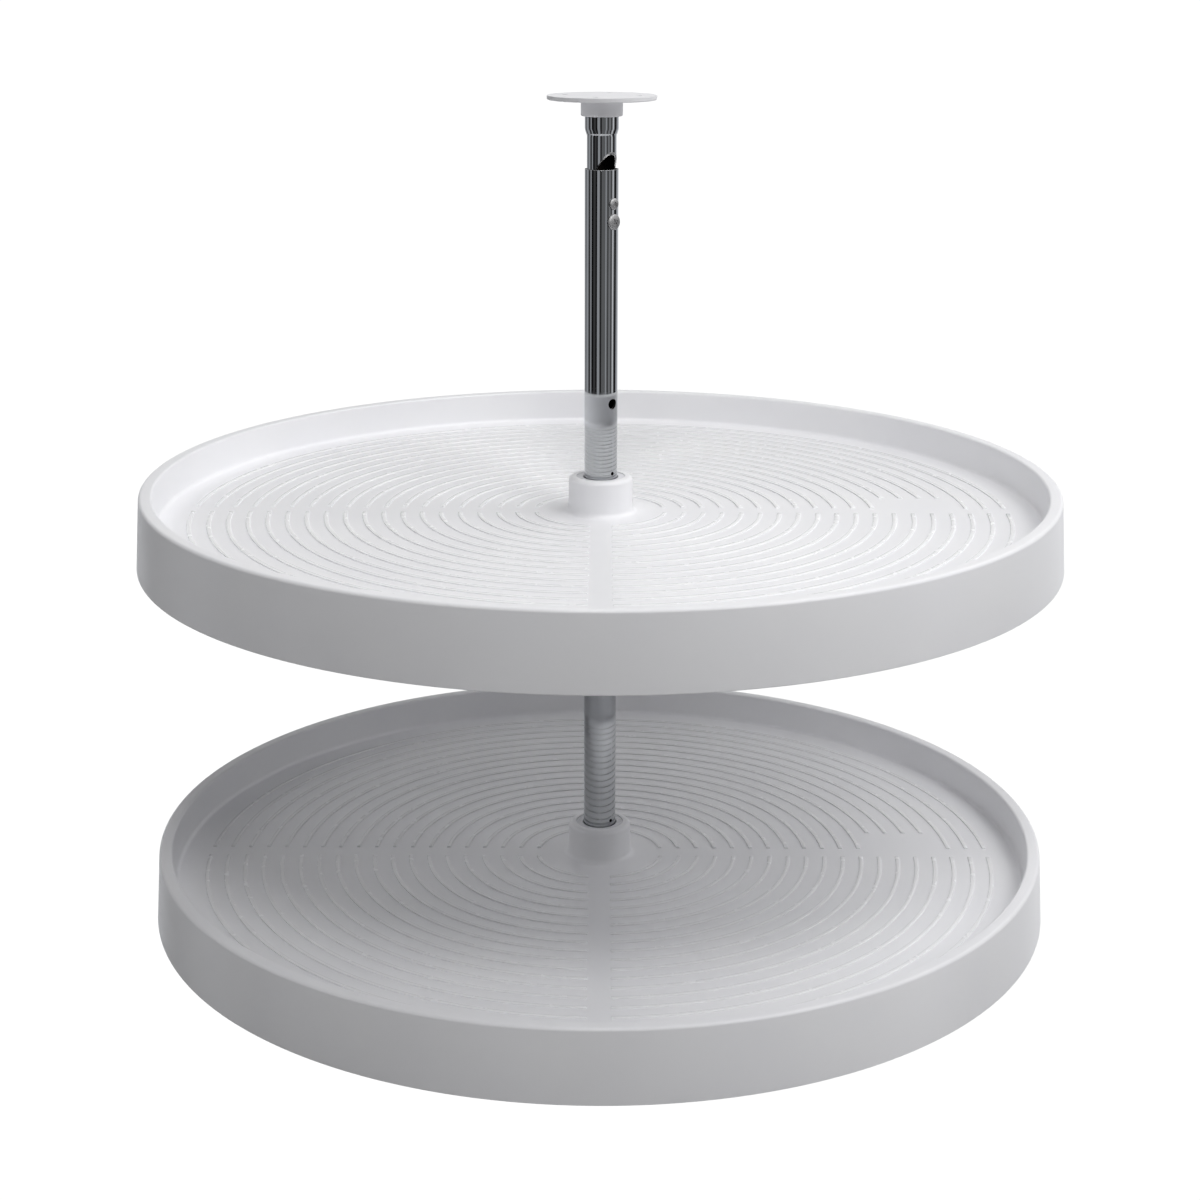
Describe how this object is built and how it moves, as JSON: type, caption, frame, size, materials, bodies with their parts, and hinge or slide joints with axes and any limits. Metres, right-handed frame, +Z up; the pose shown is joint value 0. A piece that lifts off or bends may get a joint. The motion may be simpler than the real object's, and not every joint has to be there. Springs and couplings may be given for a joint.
{
  "type": "rotating shelf unit",
  "caption": "Rotating shelf unit: round ribbed white trays on a telescoping chrome shaft between floor and ceiling bearings, for the inside of a pantry cabinet.",
  "frame": {"origin": "on the cabinet floor, on the shaft's axis, at the underside of the floor bearing", "axes": "+Z up along the shaft, -Y towards the cabinet's door, +X to the right seen from the door"},
  "size_m": [0.7112, 0.7112, 0.6616],
  "materials": {
    "tray_white": "moulded white polymer with a soft gloss",
    "bearing_white": "moulded white nylon",
    "bush_white": "moulded white acetal",
    "nylon": "natural nylon",
    "chrome_tube": "bright chrome plate",
    "steel": "zinc-plated steel"
  },
  "bodies": {
    "floor_bearing": {"floor_bearing_base": "bearing_white", "lower_race": "steel"},
    "ball_set": {"ball_cage": "nylon", "bearing_balls": "steel"},
    "shaft": {"outer_tube": "chrome_tube", "shaft_end_plug": "nylon", "upper_race": "steel", "lower_support_pin": "steel", "lower_support_washer": "nylon", "upper_support_pin": "steel", "upper_support_washer": "nylon", "clamp_nut_plate": "steel", "upper_clamp_screw": "steel", "lower_clamp_screw": "steel"},
    "lower_shelf": {"lower_tray": "tray_white", "lower_hub_bush": "bush_white"},
    "upper_shelf": {"upper_tray": "tray_white", "upper_hub_bush": "bush_white"},
    "inner_shaft": {"inner_tube": "chrome_tube"},
    "ceiling_flange": {"ceiling_bearing": "bearing_white"}
  },
  "joints": [
    {"name": "shaft_spin", "type": "hinge", "parent": "floor_bearing", "child": "shaft", "pos_m": [0, 0, 0.0109], "axis": [0, 0, 1], "continuous": true},
    {"name": "ball_cage_spin", "type": "hinge", "parent": "floor_bearing", "child": "ball_set", "pos_m": [0, 0, 0.0058], "axis": [0, 0, 1], "continuous": true},
    {"name": "lower_tray_spin", "type": "hinge", "parent": "shaft", "child": "lower_shelf", "pos_m": [0, 0, 0.0355], "axis": [0, 0, 1], "continuous": true},
    {"name": "upper_tray_spin", "type": "hinge", "parent": "shaft", "child": "upper_shelf", "pos_m": [0, 0, 0.3235], "axis": [0, 0, 1], "continuous": true},
    {"name": "height_slide", "type": "slide", "parent": "shaft", "child": "inner_shaft", "axis": [0, 0, 1], "range_m": [-0.02, 0.127]},
    {"name": "ceiling_bearing_spin", "type": "hinge", "parent": "inner_shaft", "child": "ceiling_flange", "pos_m": [0, 0, 0.6466], "axis": [0, 0, 1], "continuous": true}
  ],
  "couplings": [
    {"joint": "ball_cage_spin", "follows": "shaft_spin", "ratio": 0.5},
    {"joint": "ceiling_bearing_spin", "follows": "shaft_spin", "ratio": -1}
  ]
}
